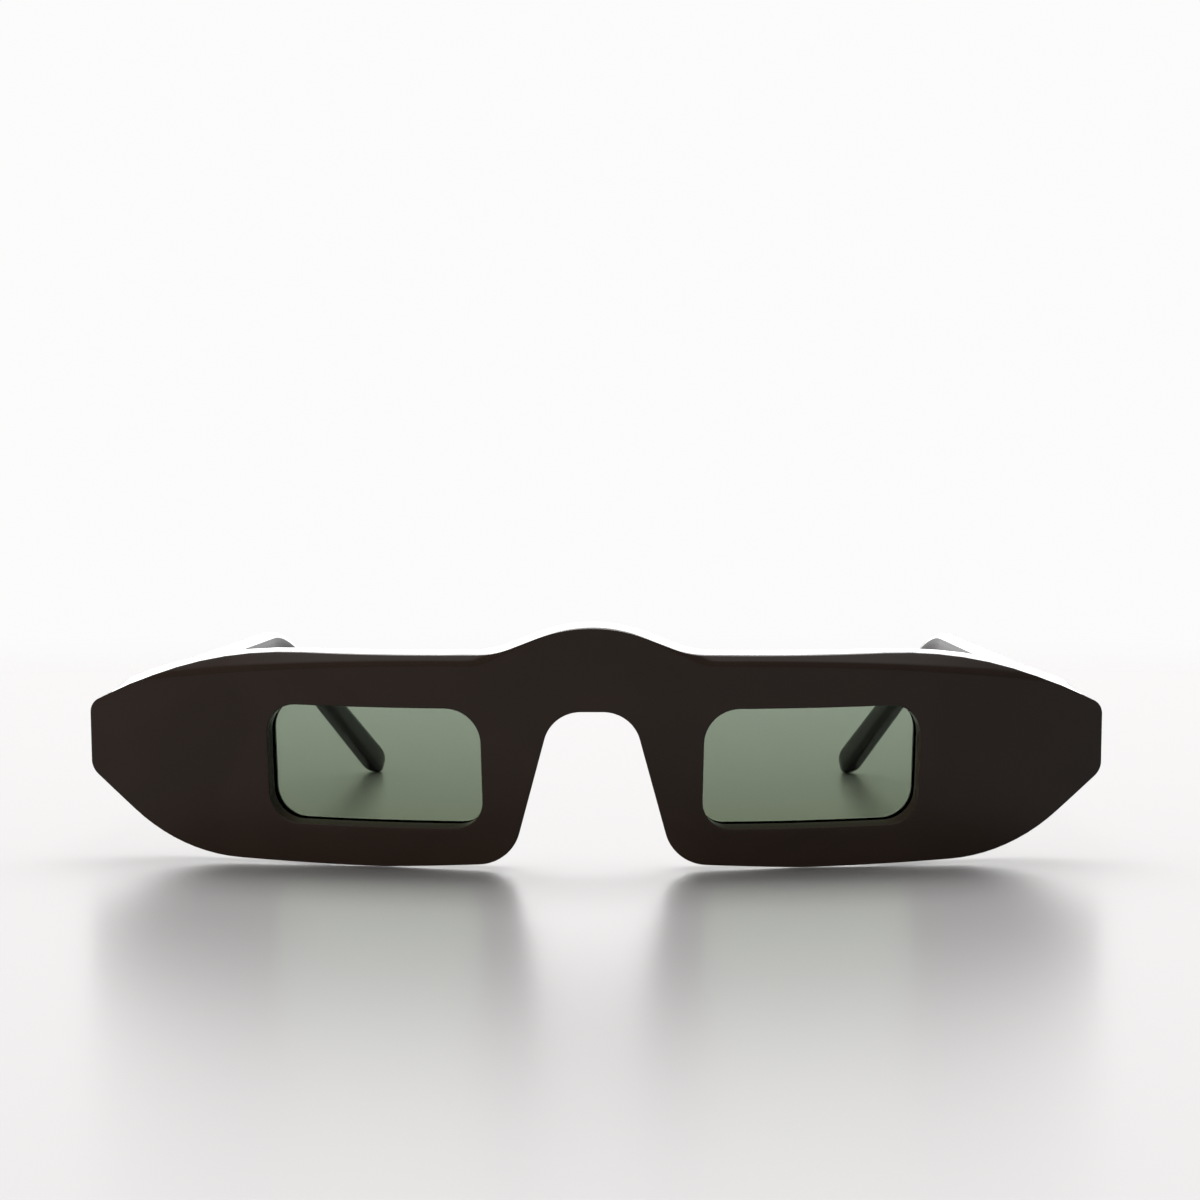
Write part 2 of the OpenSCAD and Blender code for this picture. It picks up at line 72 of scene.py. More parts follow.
# Half the width of the grid of a lens, and the heights between which the brow bevel lies
LENS_REACH = 0.020
BEVEL_SPAN = (0.015, 0.038)

# Width of the zone where the end pieces turn from radial to square edges
END_ZONE = 0.006

# Bevel round the edge of a lens
LENS_BEVEL = 0.00015

# Distance behind the butt where the plain sections of a temple start
BUTT_ZONE = 0.004

# Sections of a temple along its arm, its bend, its straight end and its rounded tip
ARM_SECTIONS = 22
BEND_SECTIONS = 22
END_SECTIONS = 12
TIP_SECTIONS = 9

# Length by which a rivet stands over the outer side of its temple
RIVET_OVER = 0.00003

# Half the width of the floor, the width of the ring where it fades, and the white behind it
FLOOR_HALF = 4.0
FADE_WIDTH = 0.12
WHITE = (0.97, 0.97, 0.97, 1)


def length(name, description, default):
    """Property for a length in metres."""
    return FloatProperty(name=name, description=description, default=default, unit="LENGTH", precision=5)


def lengths(name, description, default):
    """Property for a few lengths in metres that belong together."""
    return FloatVectorProperty(name=name, description=description, default=default, unit="LENGTH",
                               precision=5, size=len(default))


def angle(name, description, degrees):
    """Property for an angle, given in degrees."""
    default = math.radians(degrees)
    return FloatProperty(name=name, description=description, default=default, subtype="ANGLE")


def colour(name, description, default):
    """Property for a colour."""
    return FloatVectorProperty(name=name, description=description, default=default, subtype="COLOR",
                               size=3, min=0, max=1)


def share(name, description, default):
    """Property for a plain number."""
    return FloatProperty(name=name, description=description, default=default, min=0, precision=3)


class FrontSettings(PropertyGroup):
    """Sizes and colour of the bent front."""
    width: length("Width", "Width across both end pieces", 0.148)
    thick: length("Thickness", "Thickness of the front", 0.005)
    face_radius: length("Face radius", "Radius that the face is bent to", 0.150)
    lean: angle("Lean", "Lean of the standing front towards the viewer", 9)
    place: lengths("Place", "Place of the foot of the face", (0.0, -0.0729161, -0.000491581))
    top_high: length("Top line", "Height beside the bridge", 0.0314)
    bridge_high: length("Bridge", "Height of its crown", 0.0356)
    bridge_radius: length("Bridge radius", "Radius of its crown", 0.021)
    bridge_slope: angle("Bridge slope", "Slope of both flanks", 22.5)
    dip_radius: length("Dip radius", "Radius between a flank and the top line", 0.016)
    shoulder: lengths("Shoulder", "Distance in from the end, height and radius", (0.0166, 0.0299, 0.062))
    end_top: lengths("End top", "Distance in, height and radius of its corner", (0.0, 0.0202, 0.0026))
    end_low: lengths("End bottom", "Distance in, height and radius of its corner", (0.0, 0.0103, 0.0026))
    heel: lengths("Heel", "Distance in from the end, height and radius", (0.0138, -0.0005, 0.025))
    sole: lengths("Sole", "Distance from the middle, height and radius", (0.030, 0.0, 0.060))
    foot: lengths("Nose foot", "Distance from the middle, height and radius", (0.0116, 0.0012, 0.0064))
    arch: lengths("Arch", "Half its width, its height and its radius", (0.0057, 0.0235, 0.0054))
    bevel_in: length("Bevel in", "Distance of its middle from the end of the front", 0.034)
    bevel_high: length("Bevel height", "Distance of its lower line below the top line", 0.0024)
    bevel_slope: angle("Bevel slope", "Slope out of the face", 45)
    bevel_radius: length("Bevel radius", "Radius of the cone that cuts it", 0.098)
    bevel_turn: angle("Bevel turn", "Turn of its lower line down towards the end piece", 5.5)
    bevel_from: length("Bevel from", "Distance of its inner end from the middle", 0.014)
    bevel_fade: angle("Bevel fade", "Slope of its inner end", 26)
    bevel_soft: length("Bevel soft", "Half the height of the rounding at its lower line", 0.0006)
    front_edge: length("Front edge", "Radius of the edge round the face", 0.0001)
    back_edge: length("Back edge", "Radius of the edge round the back", 0.0006)
    rim_edge: length("Rim edge", "Radius of the edges of the openings", 0.0002)
    acetate: colour("Acetate", "Colour of the front", (0.0165, 0.0113, 0.0084))


class LensSettings(PropertyGroup):
    """Sizes of the openings and lenses, the tint, and the painted shade that darkens the lens feet."""
    width: length("Opening width", "Width of an opening", 0.0317)
    height: length("Opening height", "Height of an opening", 0.0175)
    across: length("Opening across", "Distance from the middle of the front", 0.0315)
    middle: length("Opening middle", "Height of its middle", 0.0146)
    turn: angle("Opening turn", "Turn down towards the end piece", 1.4)
    radii: lengths("Corner radii", "From the low outer corner up and over to the low inner one",
                   (0.0044, 0.0046, 0.005, 0.004))
    thick: length("Lens thickness", "Thickness of a lens", 0.0016)
    set_back: length("Lens set back", "Depth behind the face", 0.0026)
    grip: length("Lens grip", "Depth of its edge in the groove", 0.0009)
    fit: length("Lens fit", "Clearance in the groove", 0.00005)
    tint: colour("Tint", "Colour that the top of a lens lets through", (0.255, 0.309, 0.238))
    # The foot colour is the grey green tint darkened as painted shade
    foot_tint_and_shade: colour("Low tint", "Colour that its foot lets through", (0.165, 0.200, 0.137))


class PadSettings(PropertyGroup):
    """Sizes and colour of the nose pads."""
    middle: length("Pad middle", "Height of its middle", 0.012)
    length: length("Pad length", "Length down the nose", 0.012)
    depth: length("Pad depth", "Depth behind the front", 0.006)
    thick: length("Pad thickness", "Thickness of a pad", 0.003)
    flare: angle("Pad flare", "Spread outwards to the back", 22)
    inset: length("Pad inset", "Distance behind the edge of the arch", 0.0004)
    glue: length("Glue line", "Gap between a pad and the front", 0.00005)
    acetate: colour("Pad acetate", "Colour of the pads", (0.0150, 0.0104, 0.0080))


class TempleSettings(PropertyGroup):
    """Sizes and colour of the temples, darkened as painted shade, and the place of their pins."""
    pin: lengths("Pin", "Distance in from the end, height and depth behind", (0.0125, 0.0204, 0.0022))
    pin_side: length("Pin beside", "Distance from the inner side of the temple", 0.0019)
    panto: angle("Downward angle", "Slope of a temple below the square of the front", 7)
    toe: angle("Inward angle", "Turn of a temple inwards to the back", 5.6)
    butt: length("Butt reach", "Distance that the middle line starts before the pin", 0.005)
    butt_gap: length("Butt gap", "Gap between an open temple and the front", 0.0001)
    butt_edge: length("Butt edge", "Radius of the edge round the butt end", 0.0004)
    arm: length("Arm", "Distance from the pin to the bend", 0.093)
    bend_radius: length("Bend radius", "Radius of the bend", 0.030)
    drop: lengths("Drop", "Way out, back and up from the bend to the tip", (-0.011, 0.041, -0.0267587))
    at_hinge: lengths("Size at hinge", "Thickness and height of a temple there", (0.0036, 0.0076))
    at_bend: lengths("Size at bend", "Thickness and height of a temple there", (0.0030, 0.0034))
    at_tip: lengths("Size at tip", "Thickness and height of a temple there", (0.0034, 0.0044))
    tip_round: length("Tip rounding", "Length of the rounded end", 0.0045)
    edge: length("Edge radius", "Radius of the long edges", 0.0012)
    # Painted shade: a darker copy of the front's acetate that keeps the tips seen through the lenses
    # black
    acetate: colour("Temple acetate", "Colour of the temples", (0.0100, 0.0080, 0.0066))


class HingeSettings(PropertyGroup):
    """Sizes and colours of the hinge hardware."""
    rivets: IntProperty(name="Rivets", description="Number in one temple", default=2, min=1)
    first: length("First rivet", "Distance behind the pin", 0.0042)
    pitch: length("Rivet pitch", "Distance between two rivets", 0.005)
    shank: length("Rivet shank", "Diameter of a shank", 0.0012)
    head: length("Rivet head", "Diameter of a head", 0.002)
    head_high: length("Rivet head height", "Height of a head", 0.0004)
    plate: length("Plate thickness", "Thickness of a hinge plate", 0.00095)
    sunk: length("Plate sunk", "Depth that a plate is let in", 0.0005)
    steel: colour("Hinge steel", "Colour of the hinge halves", (0.56, 0.56, 0.58))
    screw: colour("Screw steel", "Colour of the screws and rivets", (0.66, 0.66, 0.68))
    wire: colour("Wire steel", "Colour of the core wires", (0.42, 0.42, 0.44))


class StageSettings(PropertyGroup):
    """Camera, floor and lights."""
    camera_far: length("Camera distance", "Distance from the face", 0.600)
    camera_high: length("Camera height", "Height above the table", 0.06967)
    camera_side: angle("Camera side", "Turn of its place about the face", 1.3)
    camera_yaw: angle("Camera yaw", "Turn of its view", 1.1984)
    camera_pitch: angle("Camera pitch", "Angle that it looks down", 2.979)
    focal: share("Focal length", "Millimetres on a 36 mm sensor", 126.84)
    floor: colour("Floor", "Colour of the glossy floor", (0.70, 0.70, 0.706))
    # Painted shade: a darker copy of the floor colour, which the glasses mirror and are lit by
    floor_painted_shade: colour("Floor dim", "Colour of the floor as the glasses mirror it", (0.31, 0.31, 0.315))
    floor_end: length("Floor end", "Distance where the floor fades out", 0.36)
    top_light: share("Top light", "Watts of the soft light above", 6.0)
    back_light: share("Back light", "Watts of the soft light behind", 6.2)
    front_light: share("Front light", "Watts of the soft light in front", 13.0)


SETTINGS = {
    "glasses_front": FrontSettings,
    "glasses_lens": LensSettings,
    "glasses_pad": PadSettings,
    "glasses_temple": TempleSettings,
    "glasses_hinge": HingeSettings,
    "glasses_stage": StageSettings,
}


def arc_points(before, corner, after, radius, step):
    """Points of the arc that rounds a corner between two others."""
    before, corner, after = (np.array(p, dtype=float) for p in (before, corner, after))
    u = (before - corner) / np.linalg.norm(before - corner)
    v = (after - corner) / np.linalg.norm(after - corner)
    half = math.acos(float(u @ v)) / 2
    bisector = (u + v) / np.linalg.norm(u + v)
    centre = corner + bisector * radius / math.sin(half)
    start = corner + u * radius / math.tan(half) - centre
    end = corner + v * radius / math.tan(half) - centre
    first = math.atan2(start[1], start[0])
    turn = (math.atan2(end[1], end[0]) - first + 3 * math.pi) % (2 * math.pi) - math.pi
    steps = max(3, math.ceil(abs(turn) / step))
    angles = first + turn * np.arange(steps + 1) / steps
    return centre + radius * np.stack([np.cos(angles), np.sin(angles)], axis=1)


def rounded(corners, step=math.radians(4)):
    """Points of the arcs at the inner corners of a line, each given as across, up and radius."""
    return np.concatenate([arc_points(before[:2], corner[:2], after[:2], corner[2], step)
                           for before, corner, after in zip(corners, corners[1:], corners[2:])])


def rounded_block(width, height, radii, step):
    """Line round a block with rounded corners, anticlockwise from the lower right one."""
    w, h = width / 2, height / 2
    corners = [(x, y, radius) for (x, y), radius in zip(((w, -h), (w, h), (-w, h), (-w, -h)), radii)]
    return rounded(corners[-1:] + corners + corners[:1], step)


def spaced(points, gap, closed=False):
    """Line of points with its longer runs divided so that no step is over the gap."""
    ends = np.roll(points, -1, axis=0) if closed else points[1:]
    out = []
    for a, b in zip(points, ends):
        steps = max(1, math.ceil(np.linalg.norm(b - a) / gap))
        out.extend(a + (b - a) * i / steps for i in range(steps))
    if not closed:
        out.append(points[-1])
    return np.array(out)


def swung(x, y, by):
    """Coordinates turned by an angle."""
    return x * math.cos(by) - y * math.sin(by), x * math.sin(by) + y * math.cos(by)


def sideways(ahead, behind):
    """Unit vectors to the right of the way from one row of points to another."""
    way = ahead - behind
    across = np.stack([way[:, 1], -way[:, 0]], axis=1)
    return across / np.linalg.norm(across, axis=1, keepdims=True)


def outward(loop):
    """Unit vectors out of a closed loop that runs anticlockwise."""
    return sideways(np.roll(loop, -1, axis=0), np.roll(loop, 1, axis=0))


def inside(points, loop):
    """Says which points lie inside a closed loop."""
    x, w = points[:, 0][:, None], points[:, 1][:, None]
    ends = np.roll(loop, -1, axis=0)
    low, high = loop[None, :, 1], ends[None, :, 1]
    crosses = (low > w) != (high > w)
    rise = np.where(high == low, 1, high - low)
    at = loop[None, :, 0] + (w - low) / rise * (ends[None, :, 0] - loop[None, :, 0])
    return (np.sum(crosses & (x < at), axis=1) % 2).astype(bool)


def clear_of(points, edge, gap):
    """Says which points are further than the gap from every point of an edge."""
    apart = np.linalg.norm(points[:, None, :] - edge[None, :, :], axis=2)
    return apart.min(axis=1) > gap


def filled(outer, holes, grid, gap):
    """Flat triangles that fill a loop round its holes, with grid points between them."""
    keep = inside(grid, outer) & clear_of(grid, outer, gap)
    for hole in holes:
        keep &= ~inside(grid, hole) & clear_of(grid, hole, gap)
    edges, points = [], []
    for loop in [outer] + holes:
        first = len(points)
        points.extend(loop)
        edges.extend((first + i, first + (i + 1) % len(loop)) for i in range(len(loop)))
    points.extend(grid[keep])
    flat, _, faces, _, _, _ = delaunay_2d_cdt([Vector(p) for p in points], edges, [], 0, 1e-9)
    flat = np.array([tuple(p) for p in flat])
    faces = np.array([tuple(f) for f in faces])
    middle = flat[faces].mean(axis=1)
    one, two = flat[faces[:, 1]] - flat[faces[:, 0]], flat[faces[:, 2]] - flat[faces[:, 0]]
    area = np.abs(one[:, 0] * two[:, 1] - one[:, 1] * two[:, 0]) / 2
    kept = inside(middle, outer) & (area > SLIVER)
    for hole in holes:
        kept &= ~inside(middle, hole)
    return flat, faces[kept]


class Skin:
    """Points and faces of a piece in the making, with a mark on the points of its inner walls."""

    def __init__(self):
        self.points = []
        self.faces = []
        self.walls = []

    def add(self, points, faces):
        """Adds points with faces that count from the first of them."""
        first = len(self.points)
        self.points.extend(tuple(p) for p in points)
        self.faces.extend(tuple(first + int(i) for i in face) for face in faces)
        self.walls.extend([0.0] * (len(self.points) - first))

    def bands(self, rings, closed, walls=()):
        """Adds the faces between matching rings of points, and marks the rings that are inner walls."""
        count = len(rings[0])
        steps = count if closed else count - 1
        faces = []
        for start in range(0, count * (len(rings) - 1), count):
            for i in range(steps):
                after = (i + 1) % count
                faces.append((start + i, start + after, start + count + after, start + count + i))
        first = len(self.points)
        self.add(np.concatenate(rings), faces)
        for ring in walls:
            self.walls[first + ring * count:first + (ring + 1) * count] = [1.0] * count

    def mirrored(self):
        """Adds the mirror image across the middle of the glasses."""
        walls = self.walls * 2
        self.add([(-x, y, z) for x, y, z in self.points], [face[::-1] for face in self.faces])
        self.walls = walls

    def made(self, name, side, material, sharp=32):
        """Makes a smooth closed mesh object on one side, with edges sharp from an angle in degrees."""
        bm = bmesh.new()
        layer = bm.verts.layers.float.new("wall")
        verts = [bm.verts.new((side * x, y, z)) for x, y, z in self.points]
        for vert, wall in zip(verts, self.walls):
            vert[layer] = wall
        for face in self.faces:
            bm.faces.new([verts[i] for i in face])
        return finished(bm, name, material, sharp)


def linked(name, data):
    """New object in the scene."""
    obj = bpy.data.objects.new(name, data)
    bpy.context.scene.collection.objects.link(obj)
    return obj


def finished(bm, name, material, sharp):
    """Mesh object of a closed shape, with merged seams, outward faces and smooth shading."""
    bmesh.ops.remove_doubles(bm, verts=bm.verts, dist=MERGE)
    bmesh.ops.dissolve_degenerate(bm, edges=bm.edges, dist=MERGE / 4)
    bmesh.ops.recalc_face_normals(bm, faces=bm.faces)
    mesh = bpy.data.meshes.new(name)
    bm.to_mesh(mesh)
    bm.free()
    mesh.shade_smooth()
    mesh.set_sharp_from_angle(angle=math.radians(sharp))
    mesh.materials.append(material)
    return linked(name, mesh)


def hand_over(obj, body, node):
    """Sets a new piece on its body, in place of its solid, which it hides."""
    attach(obj, body)
    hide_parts(node)


def stand(front):
    """Matrix that stands the frame of the front on the table."""
    return Matrix.Translation(Vector(front.place)) @ Matrix.Rotation(front.lean, 4, "X")


def placed(matrix, points):
    """Points moved by a matrix."""
    m = np.array(matrix)
    return np.asarray(points) @ m[:3, :3].T + m[:3, 3]


def at_depth(front, at, depth):
    """Points of the standing front at places across and up it, at a depth behind its face."""
    x, w = at.T
    radius = front.face_radius - depth
    y = front.face_radius - np.sqrt(radius * radius - x * x)
    return placed(stand(front), np.stack([x, y, w], axis=1))


def soft_over(value, soft):
    """The larger of a value and nothing, with a rounded step between them."""
    eased = (value + soft) ** 2 / (4 * soft)
    return np.where(value < -soft, 0, np.where(value > soft, value, eased))


def bevel_field(front, x, w):
    """Depth of the brow bevel behind the face, which is below nothing where the bevel has ended."""
    radius = front.face_radius
    about = math.asin((front.width / 2 - front.bevel_in) / radius)
    inner = math.asin(front.bevel_from / radius)
    steep = math.tan(front.bevel_slope)
    depth = np.zeros_like(x)
    for _ in range(6):
        reach = np.sqrt((radius - depth) ** 2 - x * x)
        across, ahead = swung(x, reach, about)
        along, up = swung(across, w - front.top_high + front.bevel_high, front.bevel_turn)
        cone = (np.hypot(along, up + front.bevel_radius) - front.bevel_radius) * steep + ahead - radius
        across, ahead = swung(x, reach, inner)
        up = swung(across, w - front.top_high, front.bevel_fade)[1]
        fade = up * steep + ahead - radius
        lower = cone - soft_over(cone - fade, front.bevel_soft)
        value = np.where(depth > 0, depth + lower, lower)
        depth = np.maximum(value, 0)
    return value


def face_depth(front, at):
    """Depth of the face at places across and up it, eased into the brow bevel."""
    return soft_over(bevel_field(front, *at.T), front.bevel_soft)


def half_outline(front):
    """Line round the left half of the front, from the crown of the bridge to the nose arch."""
    end = front.width / 2
    slope = front.bridge_slope
    peak = front.bridge_high + front.bridge_radius * (1 / math.cos(slope) - 1)
    centre = front.bridge_high - front.bridge_radius
    dip = (peak - front.top_high) / math.tan(slope)
    corners = [(0, peak, 0), (dip, front.top_high, front.dip_radius)]
    for inset, high, radius in (front.shoulder, front.end_top, front.end_low, front.heel):
        corners.append((end - inset, high, radius))
    corners += [tuple(corner) for corner in (front.sole, front.foot, front.arch)]
    corners.append((-front.arch[0], front.arch[1], 0))
    crown = [(front.bridge_radius * math.sin(a), centre + front.bridge_radius * math.cos(a))
             for a in (slope * i / 12 for i in range(13))]
    return spaced(np.concatenate([crown, rounded(corners), [(0, front.arch[1])]]), OUTLINE_STEP)


def opening_line(lens):
    """Rounded line round a lens opening, seen square to its middle."""
    line = rounded_block(lens.width, lens.height, lens.radii, math.radians(8))
    turn = np.array(Matrix.Rotation(-lens.turn, 2))
    return spaced(line, RIM_STEP, closed=True) @ turn.T


def around_opening(front, lens, line, depth):
    """Distances across and heights on the front of a line drawn square to the middle of an opening."""
    about = math.asin(lens.across / front.face_radius)
    reach = np.sqrt((front.face_radius - depth) ** 2 - line[:, 0] ** 2)
    return np.stack([swung(line[:, 0], reach, -about)[0], lens.middle + line[:, 1]], axis=1)


def lens_depth(front, line, set_back):
    """Depth behind the face of a round shell under a line drawn square to the middle of an opening."""
    radius = front.face_radius - set_back
    reach = np.sqrt(radius ** 2 - line[:, 0] ** 2 - line[:, 1] ** 2)
    return front.face_radius - np.hypot(reach, line[:, 0])


def rounding(radius, steps=5):
    """Insets and depths of a quarter round, from the flat face to the wall."""
    return [(radius * (1 - math.sin(a)), radius * (1 - math.cos(a)))
            for a in (math.pi / 2 * i / steps for i in range(steps + 1))]


def face_grid(front, step):
    """Grid of places across the face, with rows that follow the brow bevel."""
    places = []
    soft = front.bevel_soft
    levels = np.concatenate([
        np.linspace(-4.5, -1.5, 4), np.linspace(-1.1, 1.1, 12), np.linspace(1.6, 7, 12)]) * soft
    for x in np.arange(step, front.width / 2, step):
        heights = np.linspace(*BEVEL_SPAN, 400)
        values = bevel_field(front, np.full_like(heights, x), heights)
        rows = [float(np.interp(level, values, heights)) for level in levels
                if values[0] < level < values[-1]]
        lowest = rows[0] if rows else front.bridge_high
        places.extend((x, w) for w in rows)
        places.extend((x, w) for w in np.arange(step, lowest - step * 0.6, step))
    return np.array(places)


def front_skin(front, lens):
    """Skin of the whole front: face with its brow bevel, back, polished edges, rims and lens grooves."""
    skin = Skin()
    line = half_outline(front)
    mirror = np.array([-1, 1])
    inward = sideways(np.concatenate([line[1:], line[-2:-1] * mirror]),
                      np.concatenate([line[1:2] * mirror, line[:-1]]))

    def edge_ring(inset, extra, from_back):
        at = line + inward * inset
        depth = front.thick - extra if from_back else face_depth(front, at) + extra
        ease = np.clip((at[:, 0] - front.width / 2 + END_ZONE) / END_ZONE, 0, 1)
        ease = ease * ease * (3 - 2 * ease)
        at = at - np.stack([at[:, 0] * depth / front.face_radius * ease, 0 * ease], axis=1)
        return at, at_depth(front, at, depth)

    edges = [edge_ring(*turn, False) for turn in rounding(front.front_edge)]
    edges += [edge_ring(*turn, True) for turn in reversed(rounding(front.back_edge))]
    skin.bands([ring for _, ring in edges], closed=False)

    rim = opening_line(lens)
    out = outward(rim)

    def rim_ring(grow, depth):
        at = around_opening(front, lens, rim + out * grow, depth)
        return at, at_depth(front, at, depth)

    def groove_ring(grow, set_back):
        return rim_ring(grow, lens_depth(front, rim + out * grow, set_back))

    deep = lens.grip + lens.fit
    near, far = lens.set_back - lens.fit, lens.set_back + lens.thick + lens.fit
    rims = [rim_ring(*turn) for turn in rounding(front.rim_edge)]
    first_wall = len(rims) - 1
    rims += [groove_ring(0, near), groove_ring(deep, near), groove_ring(deep, far), groove_ring(0, far)]
    last_wall = len(rims)
    rims += [rim_ring(inset, front.thick - depth) for inset, depth in reversed(rounding(front.rim_edge))]
    skin.bands([ring for _, ring in rims], closed=True, walls=range(first_wall, last_wall + 1))

    def fill(edge, hole, grid, gap, depth_of):
        middle = spaced(np.array([edge[-1], edge[0]]), MIDDLE_STEP)[1:-1]
        flat, faces = filled(np.concatenate([edge, middle]), [hole], grid, gap)
        skin.add(at_depth(front, flat, depth_of(flat)), faces)

    steps = np.arange(BACK_STEP, front.width / 2, BACK_STEP)
    grid = np.array([(x, w) for x in steps for w in steps if w < front.bridge_high])
    fill(edges[-1][0], rims[-1][0], grid, BACK_GAP, lambda at: front.thick)
    grid = face_grid(front, FACE_STEP)
    fill(edges[0][0], rims[0][0], grid, FACE_GAP, lambda at: face_depth(front, at))
    skin.mirrored()
    return skin


def lens_skin(front, lens):
    """Skin of the left lens: two round faces and an edge with small bevels."""
    skin = Skin()
    line = opening_line(lens)

    def shell(at, set_back):
        depth = lens_depth(front, at, set_back)
        return at_depth(front, around_opening(front, lens, at, depth), depth)

    full, cut = (line + outward(line) * grow for grow in (lens.grip, lens.grip - LENS_BEVEL))
    back = lens.set_back + lens.thick
    skin.bands([shell(cut, lens.set_back), shell(full, lens.set_back + LENS_BEVEL),
                shell(full, back - LENS_BEVEL), shell(cut, back)], closed=True)
    steps = np.arange(-LENS_REACH, LENS_REACH, LENS_STEP)
    grid = np.array([(x, w) for x in steps for w in steps])
    flat, faces = filled(cut, [], grid, BACK_GAP)
    skin.add(shell(flat, lens.set_back), faces)
    skin.add(shell(flat, back), faces)
    return skin


def pad_mesh(front, pad, side):
    """Rounded hull of a nose pad, flattened where it is glued to the back of the front."""
    foot, arch = front.foot, front.arch
    slope = (arch[0] - foot[0]) / (arch[1] - foot[1])
    spread = pad.depth * math.tan(pad.flare)
    reach = (pad.length - pad.thick) / 2
    glued = front.face_radius - front.thick - pad.glue
    bm = bmesh.new()
    normals = bm.verts.layers.float_vector.new("outward")
    for end in (-1, 1):
        for back in (0, 1):
            up = pad.middle + end * (reach - back * pad.thick / 3)
            edge = foot[0] + (up - foot[1]) * slope + pad.inset + pad.thick / 2
            sag = front.face_radius - math.sqrt(front.face_radius ** 2 - edge ** 2)
            deep = front.thick + sag + back * (pad.depth - pad.thick / 2)
            centre = Vector((edge + back * spread, deep, up))
            place = Matrix.Translation(centre)
            ball = bmesh.ops.create_uvsphere(
                bm, u_segments=48, v_segments=32, radius=pad.thick / 2, matrix=place)
            for vert in ball["verts"]:
                vert[normals] = (vert.co - centre).normalized()
    bmesh.ops.delete(bm, geom=bm.edges[:], context="EDGES_FACES")
    turn = stand(front).to_3x3()
    for vert in bm.verts:
        away = math.hypot(vert.co.x, front.face_radius - vert.co.y)
        if away > glued:
            vert.co.x *= glued / away
            vert.co.y = front.face_radius - (front.face_radius - vert.co.y) * glued / away
        vert.co = stand(front) @ vert.co
        vert.co.x *= side
        turned = turn @ vert[normals]
        vert[normals] = (turned.x * side, turned.y, turned.z)
    bmesh.ops.remove_doubles(bm, verts=bm.verts, dist=MERGE)
    hull = bmesh.ops.convex_hull(bm, input=bm.verts)
    spare = hull["geom_interior"] + hull["geom_unused"]
    spare = {item for item in spare if isinstance(item, bmesh.types.BMVert)}
    bmesh.ops.delete(bm, geom=list(spare), context="VERTS")
    return bm


def pin_frame(front, temple):
    """Matrix of the frame of the left temple, with the pin at its origin and the arm along Y."""
    inset, high, behind = temple.pin
    radius = front.face_radius - front.thick - behind
    across = front.width / 2 - inset
    place = (across, front.face_radius - math.sqrt(radius ** 2 - across ** 2), high)
    return (stand(front) @ Matrix.Translation(place) @ Matrix.Rotation(temple.toe, 4, "Z")
            @ Matrix.Rotation(-temple.panto, 4, "X"))


class TemplePath:
    """Middle line of a temple: a straight arm, the bend and the straight end behind it."""

    def __init__(self, temple):
        self.temple = temple
        self.start = Vector((temple.pin_side + temple.at_hinge[0] / 2, -temple.butt, 0))
        self.bend = Vector((temple.pin_side + temple.at_bend[0] / 2, temple.arm, 0))
        tip = self.bend + Vector(temple.drop)
        self.along = (self.bend - self.start).normalized()
        self.down = (tip - self.bend).normalized()
        self.turn = self.along.angle(self.down)
        self.side = (self.down - self.down.dot(self.along) * self.along).normalized()
        self.cut = temple.bend_radius * math.tan(self.turn / 2)
        self.arm = (self.bend - self.start).length - self.cut
        self.curve = temple.bend_radius * self.turn
        self.length = self.arm + self.curve + (tip - self.bend).length - self.cut
        self.tip_from = self.length - temple.tip_round

    def at(self, s):
        """Point and direction at a length along the temple."""
        if s < self.arm:
            return self.start + self.along * s, self.along
        if s > self.arm + self.curve:
            return self.bend + self.down * (self.cut + s - self.arm - self.curve), self.down
        radius = self.temple.bend_radius
        turned = (s - self.arm) / radius
        point = self.bend - self.along * self.cut + self.side * radius * (1 - math.cos(turned))
        point += self.along * radius * math.sin(turned)
        return point, self.along * math.cos(turned) + self.side * math.sin(turned)

    def size(self, s):
        """Thickness and height of the section at a length along the temple."""
        places = [0, self.arm, self.tip_from]
        sizes = zip(self.temple.at_hinge, self.temple.at_bend, self.temple.at_tip)
        return [float(np.interp(s, places, size)) for size in sizes]

    def ring(self, s, scale=1.0, inset=0.0):
        """Rounded section set square to the middle line."""
        point, way = self.at(s)
        side = way.cross(Vector((0, 0, 1))).normalized()
        up = side.cross(way)
        thick, high = (size - 2 * inset for size in self.size(s))
        flat = scale * rounded_block(thick, high, [self.temple.edge - inset] * 4, math.radians(13))
        return np.array(point) + flat[:, :1] * np.array(side) + flat[:, 1:] * np.array(up)


